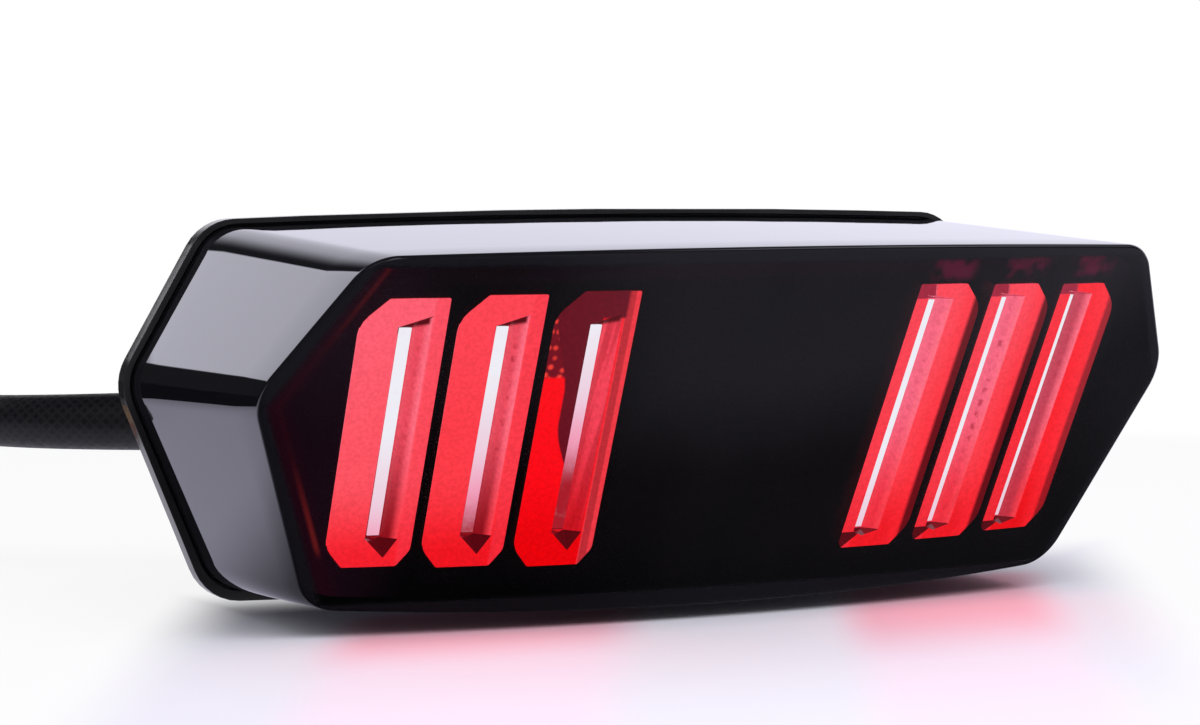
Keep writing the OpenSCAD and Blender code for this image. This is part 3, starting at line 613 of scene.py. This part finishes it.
def studio_floor():
    """Pale floor, plain white away from the lamp. Polished parts see it bright only beside the lamp."""
    g = new_graph("studio_floor")
    point, x, y, _ = g.millimetres(g.add("ShaderNodeNewGeometry", output="Position"))
    grain = g.mix(g.noise(point, 0.02, 3.0), (0.96, 0.96, 0.96), WHITE)
    pale = g.mix(1.0, floor_tint_and_red_light(g, x, y), grain, "MULTIPLY")
    floor = g.add("ShaderNodeBsdfDiffuse", {"Color": pale})
    seen = g.shaders(away_from_lamp(g, point, x, y), floor, g.glow(WHITE, 1.0))
    mirror = g.glow((0.98, 0.96, 1.1), mirrored_floor(g, x, y))
    glossy = g.add("ShaderNodeLightPath", output="Is Glossy Ray")
    return g.done(g.shaders(glossy, seen, mirror))


# Roughness and grain of each moulded plastic, by its slot in the record
PLASTICS = {
    "seal_rubber": (0.6, 0.2),
    "housing_black": (0.14, 0.04),
    "white_box": (0.5, 0.1),
    "header_nylon": (0.45, 0.15),
    "carrier_grey": (0.5, 0.3),
    "chip_black": (0.45, 0.15),
    "capacitor_blue": (0.25, 0.05),
    "jumper_grey": (0.4, 0.1),
    "wire_black": (0.35, 0.1),
    "wire_red": (0.35, 0.1),
    "wire_yellow": (0.35, 0.1),
    "vent_black": (0.5, 0.3),
    "grommet_rubber": (0.55, 0.35),
    "tie_nylon": (0.4, 0.1),
    "shrink_black": (0.38, 0.25),
    "plug_black": (0.42, 0.25),
    "plug_seal_orange": (0.5, 0.2),
    "lock_red": (0.42, 0.2),
}


def record_materials():
    """One material for each material slot of the record."""
    made = {
        "smoked_lens": smoked_lens(),
        "bezel_black": bezel_plate(),
        "cable_black": braid(),
        "red_bar": red_bar(),
        "white_guide": white_guide(),
        "white_led": led_package("white_led", (1.0, 0.9, 0.75), 2.0),
        "red_led": led_package("red_led", (1.0, 0.08, 0.05), 1.5),
        "screw_zinc": metal("screw_zinc", (0.62, 0.62, 0.63), 0.32, (6, 1, 6)),
        "insert_brass": metal("insert_brass", (0.80, 0.60, 0.30), 0.28, (8, 1, 8)),
        "terminal_brass": metal("terminal_brass", (0.83, 0.68, 0.42), 0.3, (4, 4, 4)),
        "white_board": circuit_board("white_board", (0.74, 0.76, 0.72), (0.60, 0.62, 0.58)),
        "green_board": circuit_board("green_board", (0.02, 0.11, 0.05), (0.05, 0.20, 0.09)),
    }
    for entry in RECORD["materials"]:
        name = entry["slot"]
        if name in PLASTICS:
            made[name] = plastic(name, entry["base_color"][:3], *PLASTICS[name])
    return made


# ---------------------------------------------------------------- outlines

CROWN_STEPS = 24
ARC_STEPS = 14
# A corner that turns less than this is part of a crowned edge
LEAST_TURN = math.radians(12)


def hexagon(side, z, top, top_z, low, low_z):
    """Corners of a lens outline, anticlockwise from its right side point, with crowned ends."""
    points = [Vector((side, z))]
    for sign, half, edge, crown in ((1, top, top_z, TOP_CROWN), (-1, low, low_z, LOW_CROWN)):
        for k in range(CROWN_STEPS + 1):
            u = 1 - 2 * k / CROWN_STEPS
            points.append(Vector((sign * half * u, edge + sign * crown * (1 - u * u))))
        if sign == 1:
            points.append(Vector((-side, z)))
    return points


def corner_data(points, i):
    """The inward normal of the edge before a corner, the bisector there, and how far the outline turns."""
    before = (points[i] - points[i - 1]).normalized()
    after = (points[(i + 1) % len(points)] - points[i]).normalized()
    normal = Vector((-before.y, before.x))
    next_normal = Vector((-after.y, after.x))
    turn = before.angle_signed(after) * -1
    return normal, (normal + next_normal).normalized(), turn


def inset(points, d):
    """Moves every edge of a convex outline inwards by d."""
    moved = []
    for i, point in enumerate(points):
        _, middle, turn = corner_data(points, i)
        moved.append(point + middle * d / math.cos(turn / 2))
    return moved


def rounded(points, r):
    """Replaces each real corner with an arc. Outlines of the same kind get the same number of points."""
    result = []
    for i, point in enumerate(points):
        normal, middle, turn = corner_data(points, i)
        if turn < LEAST_TURN:
            result.append(point)
            continue
        centre = point + middle * r / math.cos(turn / 2)
        arm = -normal * r
        for k in range(ARC_STEPS + 1):
            a = turn * k / ARC_STEPS
            x = arm.x * math.cos(a) - arm.y * math.sin(a)
            z = arm.x * math.sin(a) + arm.y * math.cos(a)
            result.append(centre + Vector((x, z)))
    return result


TOP_Z = LENS_HI.z - TOP_CROWN
LENS_BASE = hexagon(SIDE_HALF, SIDE_Z, TOP_HALF, TOP_Z, LOW_HALF, LOW_Z)
LENS_TIP = hexagon(SIDE_HALF - DRAFT_SIDE, SIDE_Z + DRAFT_RISE, TOP_HALF - DRAFT_TOP_END,
                   TOP_Z - DRAFT_TOP, LOW_HALF - DRAFT_LOW_END, LOW_Z + DRAFT_LOW)


def face_y(x, z):
    """Where the lens face is at x and z."""
    return FACE_Y - z * math.tan(LEAN) + x * x / (2 * FACE_R * math.cos(LEAN))


def wall_loop(d, w):
    """Where the lens wall, moved inwards by d, is w behind the face."""
    base = rounded(inset(LENS_BASE, d), CORNER_R - d)
    tip = rounded(inset(LENS_TIP, d), CORNER_R - d)
    loop = []
    for start, end in zip(base, tip):
        low, high = 0.0, 1.0
        for _ in range(30):
            middle = (low + high) / 2
            p = start.lerp(end, middle)
            behind = RIM_FRONT - middle * DRAFT_DEPTH - face_y(p.x, p.y)
            if behind * math.cos(LEAN) > w:
                low = middle
            else:
                high = middle
        p = start.lerp(end, low)
        loop.append(Vector((p.x, RIM_FRONT - low * DRAFT_DEPTH, p.y)))
    return loop


# ---------------------------------------------------------------- mesh pieces


def new_piece(name, bm, material, body, sharp=40):
    """Turns a bmesh in millimetres into a piece. Edges that turn more than sharp degrees stay sharp."""
    bmesh.ops.scale(bm, vec=(MM, MM, MM), verts=bm.verts)
    bmesh.ops.recalc_face_normals(bm, faces=bm.faces)
    mesh = bpy.data.meshes.new(name)
    bm.to_mesh(mesh)
    bm.free()
    mesh.materials.append(material)
    mesh.shade_smooth()
    piece = bpy.data.objects.new(name, mesh)
    bpy.context.scene.collection.objects.link(piece)
    mesh.set_sharp_from_angle(angle=math.radians(sharp))
    if body:
        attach(piece, body)
    return piece


def add_loop(bm, points):
    return [bm.verts.new(p) for p in points]


def bridge(bm, a, b):
    """Joins two closed loops of vertices."""
    n = len(a)
    for i in range(n):
        bm.faces.new((a[i], a[(i + 1) % n], b[(i + 1) % n], b[i]))


def face_point(x, z, w):
    """The point at x and z that lies w behind the lens face."""
    return Vector((x, face_y(x, z) + w / math.cos(LEAN), z))


def close_face(bm, loop, points, w):
    """Fills the last loop with rings that shrink to the middle of the lens face."""
    rings = 14
    for k in range(1, rings):
        u = 1 - k / rings
        ring = add_loop(bm, [face_point(p.x * u, p.z * u, w) for p in points])
        bridge(bm, loop, ring)
        loop = ring
    middle = bm.verts.new(face_point(0.0, 0.0, w))
    n = len(loop)
    for i in range(n):
        bm.faces.new((loop[i], loop[(i + 1) % n], middle))


def lens_skin(bm, d, w, edge):
    """One side of the lens shell: wall, rounded edge and face. Returns the loop at its foot."""
    base = rounded(inset(LENS_BASE, d), CORNER_R - d)
    foot = add_loop(bm, [Vector((p.x, FOOT_Y, p.y)) for p in base])
    start = add_loop(bm, [Vector((p.x, RIM_FRONT, p.y)) for p in base])
    bridge(bm, foot, start)
    previous = start
    wall_end = wall_loop(d, w + edge)
    wall_rings, edge_rings = 6, 8
    for k in range(1, wall_rings + 1):
        ring = add_loop(bm, [s.co.lerp(e, k / wall_rings) for s, e in zip(start, wall_end)])
        bridge(bm, previous, ring)
        previous = ring
    for k in range(1, edge_rings + 1):
        a = math.pi / 2 * k / edge_rings
        points = wall_loop(d + edge * (1 - math.cos(a)), w + edge * (1 - math.sin(a)))
        ring = add_loop(bm, points)
        bridge(bm, previous, ring)
        previous = ring
    close_face(bm, previous, points, w)
    return foot


def lens(materials):
    """The smoked lens: a shell with a rounded front edge."""
    bm = bmesh.new()
    outside = lens_skin(bm, 0.0, 0.0, EDGE_R)
    inside = lens_skin(bm, WALL, WALL, INNER_EDGE_R)
    bridge(bm, outside, inside)
    piece = new_piece("lens_shell", bm, materials["smoked_lens"], "lamp", sharp=50)
    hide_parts("outer_lens")


def sweep(bm, path, radii, sides, girth=None):
    """A tube along a path, closed at both ends. With girth, it gets a UV map that counts in turns."""
    layer = bm.loops.layers.uv.new("sleeve") if girth else None
    n = len(path)
    tangents = [(path[min(i + 1, n - 1)] - path[max(i - 1, 0)]).normalized() for i in range(n)]
    length = [0.0]
    for i in range(1, n):
        length.append(length[-1] + (path[i] - path[i - 1]).length)
    rings = []
    for p, t, r in zip(path, tangents, radii):
        side = t.cross(Vector((0, 0, 1))).normalized()
        up = side.cross(t)
        turns = [2 * math.pi * j / sides for j in range(sides)]
        rings.append(add_loop(bm, [p + r * (math.cos(a) * side + math.sin(a) * up) for a in turns]))
    for i in range(n - 1):
        for j in range(sides):
            k = (j + 1) % sides
            face = bm.faces.new((rings[i][j], rings[i][k], rings[i + 1][k], rings[i + 1][j]))
            if layer:
                us = (j / sides, (j + 1) / sides, (j + 1) / sides, j / sides)
                vs = (length[i], length[i], length[i + 1], length[i + 1])
                for loop, u, v in zip(face.loops, us, vs):
                    loop[layer].uv = (u, v / girth)
    bm.faces.new(list(reversed(rings[0])))
    bm.faces.new(rings[-1])


def bezier(a, b, c, d, steps):
    """Points along a cubic curve from a to d."""
    points = []
    for k in range(steps + 1):
        t = k / steps
        s = 1 - t
        points.append(s ** 3 * a + 3 * s * s * t * b + 3 * s * t * t * c + t ** 3 * d)
    return points


def lead_path():
    """The middle of the lead, from its hinge to the plug."""
    out = PIVOT + Vector((-1, 18, 0))
    aside = PIVOT + Vector((-54, 12, 0))
    first = bezier(PIVOT, out, aside, JACKET_BEND, BEND_STEP)
    down = JACKET_BEND + Vector((-4, 9, -0.2))
    second = bezier(JACKET_BEND, down, PLUG_AT - 8 * PLUG_AXIS, PLUG_AT, 12 * FINE)
    return first + second[1:]


def clamp(value):
    return max(0.0, min(1.0, value))


def sleeve(materials, path):
    """The woven sleeve over the whole cable, which curves away from the grommet."""
    bm = bmesh.new()
    start = PIVOT.y - ENTRY_LENGTH
    steps = 16
    entry = [Vector((PIVOT.x, start + k * (PIVOT.y - start) / steps, PIVOT.z)) for k in range(steps)]
    radii = [CABLE_R] * steps
    # The sleeve swells once it is out of the grommet, and is tight again towards its end
    for k, p in enumerate(path[:JACKET_END + 1]):
        free = clamp((p - PIVOT).length / BEND_REACH)
        loose = clamp((BEND_STEP + 2 - k) / BEND_STEP * 2.4)
        radii.append(CABLE_R + free * (SWELL * loose - 0.1))
    sweep(bm, entry + path[:JACKET_END + 1], radii, 40, 2 * math.pi * CABLE_R)
    piece = new_piece("cable_sleeve", bm, materials["cable_black"], None)
    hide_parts("cable_entry", "cable_jacket")
    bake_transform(piece)


def shrink_tube(materials, path):
    """Heat-shrink tube over the end of the sleeve, tight against the wires at its far end."""
    bm = bmesh.new()
    line = path[JACKET_END - 3 * FINE:JACKET_END + FINE + 2]
    wall, ripple = 0.8, 0.15
    radii = [CABLE_R + wall - ripple * abs(math.sin(k * 0.9)) for k in range(len(line))]
    radii[0] = CABLE_R + 0.5
    radii[-2] = CABLE_R
    radii[-1] = CABLE_R - 1.0
    sweep(bm, line, radii, 32)
    piece = new_piece("shrink_tube", bm, materials["shrink_black"], "lead")
    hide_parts("jacket_shrink")


def plug_wires(materials, path):
    """The three wires from the cable to the plug."""
    along = (path[JACKET_END + FINE] - path[JACKET_END - FINE]).normalized()
    side = along.cross(Vector((0, 0, 1))).normalized()
    up = side.cross(along)
    across = Vector((-PLUG_AXIS.y, PLUG_AXIS.x, 0.0))
    wires = (("ground", "wire_black"), ("tail", "wire_red"), ("brake", "wire_yellow"))
    bundle_r, in_plug = 1.6, 9.2
    for k, (name, slot) in enumerate(wires):
        a = 2 * math.pi * k / 3
        start = path[JACKET_END] + along * 0.3 + bundle_r * (math.cos(a) * side + math.sin(a) * up)
        end = PLUG_AT + (k - 1) * CAVITY_PITCH * across
        line = bezier(start, start + 7 * along, end - 6 * PLUG_AXIS, end, 28)
        line.append(end + in_plug * PLUG_AXIS)
        bm = bmesh.new()
        sweep(bm, line, [WIRE_R] * len(line), 20)
        piece = new_piece(f"plug_wire_{name}", bm, materials[slot], "lead")
        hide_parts(f"wire_{name}")


# Width of the soft edges of each CAD node that is seen
SOFT_EDGES = {
    "housing": 0.5,
    "plug_housing": 0.3,
    "plug_latch": 0.2,
    "plug_lock": 0.2,
    "vent_cap": 0.3,
    "cable_grommet": 0.5,
    "mount_inserts": 0.25,
    "carrier_screws": 0.2,
    "cable_tie": 0.2,
}
BAR_EDGE = 0.22
WELD = 0.002
FLAT_ANGLE = math.radians(0.6)
EDGE_ANGLE = math.radians(35)


def soften(obj, width):
    """Rounds the sharp edges of a CAD node with a modifier."""
    bevel = obj.modifiers.new("soft_edges", "BEVEL")
    bevel.width = width * MM
    bevel.segments = 3
    bevel.limit_method = "ANGLE"
    bevel.angle_limit = EDGE_ANGLE
    bevel.use_clamp_overlap = True
    bevel.harden_normals = True


def dress_cad(materials):
    """Gives every CAD node its material, soft edges and smooth shading, and leaves its mesh as it is."""
    slots = {entry["node"]: entry["material_slot"] for entry in RECORD["subparts"]}
    for name, obj in NODES.items():
        mesh = obj.data
        mesh.materials.clear()
        mesh.materials.append(materials[slots[name]])
        weld = obj.modifiers.new("weld", "WELD")
        weld.merge_threshold = WELD * MM
        flat = obj.modifiers.new("flat", "DECIMATE")
        flat.decimate_type = "DISSOLVE"
        flat.angle_limit = FLAT_ANGLE
        width = BAR_EDGE if name.startswith("bar_") else SOFT_EDGES.get(name)
        if width:
            soften(obj, width)
        mesh.shade_smooth()
        normals = obj.modifiers.new("normals", "WEIGHTED_NORMAL")
        normals.keep_sharp = True


# ---------------------------------------------------------------- stage


def floor():
    bm = bmesh.new()
    bmesh.ops.create_grid(bm, x_segments=8, y_segments=8, size=6000)
    bmesh.ops.translate(bm, verts=bm.verts, vec=(0, 0, FLOOR_Z))
    new_piece("studio_floor", bm, studio_floor(), None)


def softbox(g, azimuth, height, box, soft):
    """A bright patch of the surroundings, with soft lower limits of azimuth and height."""
    parts = []
    limits = ((azimuth, box[0], box[1], soft[0]), (height, box[2], box[3], soft[1]))
    for value, low, high, blur in limits:
        rise = g.smooth(value, math.radians(low - blur), math.radians(low + blur))
        fall = g.fall(value, math.radians(high - 0.6), math.radians(high + 0.6))
        parts.append(g.times(rise, fall))
    return g.times(*parts)


def world():
    """White to the camera. Polished parts see a dark studio with softboxes, so their faces shine apart."""
    studio = bpy.data.worlds.new("studio")
    bpy.context.scene.world = studio
    g = Graph(studio)
    direction = g.add("ShaderNodeTexCoord", output="Generated")
    x, y, z = g.add("ShaderNodeSeparateXYZ", (direction,)).node.outputs
    azimuth = g.math("ARCTAN2", x, y)
    height = g.math("ARCSINE", z)
    strength = DARK_STUDIO
    for box, soft, power in SOFTBOXES:
        strength = g.math("MULTIPLY_ADD", softbox(g, azimuth, height, box, soft), power, strength)
    paths = g.add("ShaderNodeLightPath").node.outputs
    seen = g.add("ShaderNodeBackground", {"Color": WHITE, "Strength": 1.0})
    mirrored = g.add("ShaderNodeBackground", {"Color": (0.92, 0.92, 0.98), "Strength": strength})
    filling = g.add("ShaderNodeBackground", {"Color": (0.97, 0.98, 1.0), "Strength": 0.5})
    light = g.shaders(paths["Is Glossy Ray"], filling, mirrored)
    g.add("ShaderNodeOutputWorld", (g.shaders(paths["Is Camera Ray"], light, seen),))


def studio_light():
    """The large soft light."""
    data = bpy.data.lights.new("front_box", "AREA")
    data.shape = "RECTANGLE"
    data.size, data.size_y = LIGHT_SIZE[0] * MM, LIGHT_SIZE[1] * MM
    data.energy = LIGHT_POWER
    obj = bpy.data.objects.new("front_box", data)
    place = Vector(LIGHT_AT)
    obj.location = place * MM
    obj.rotation_euler = (place - Vector(LIGHT_TARGET)).to_track_quat("Z", "Y").to_euler()
    obj.visible_camera = False
    obj.visible_glossy = False
    bpy.context.scene.collection.objects.link(obj)


def camera():
    """Stands where the lamp's own perspective puts the viewer: left of the lens and slightly above."""
    yaw, pitch, roll = math.radians(YAW), math.radians(PITCH), math.radians(ROLL)
    flat = Vector((math.sin(yaw), math.cos(yaw), 0)) * math.cos(pitch)
    forward = flat + Vector((0, 0, math.sin(pitch)))
    right = Vector((math.cos(yaw), -math.sin(yaw), 0))
    up = right.cross(forward)
    across = right * math.cos(roll) + up * math.sin(roll)
    above = up * math.cos(roll) - right * math.sin(roll)
    data = bpy.data.cameras.new("camera")
    data.lens = FOCAL_LENGTH
    data.sensor_width = SENSOR
    data.clip_start = 0.01
    obj = bpy.data.objects.new("camera", data)
    rotation = Matrix((across, above, -forward)).transposed().to_4x4()
    eye = Vector((EYE_X, RIM_FRONT - EYE_AHEAD, EYE_Z))
    obj.matrix_world = Matrix.Translation(eye * MM) @ rotation
    bpy.context.scene.collection.objects.link(obj)
    bpy.context.scene.camera = obj


def main():
    bpy.context.scene.view_settings.view_transform = "Standard"
    materials = record_materials()
    dress_cad(materials)
    lens(materials)
    path = lead_path()
    sleeve(materials, path)
    shrink_tube(materials, path)
    plug_wires(materials, path)
    floor()
    world()
    studio_light()
    camera()


main()
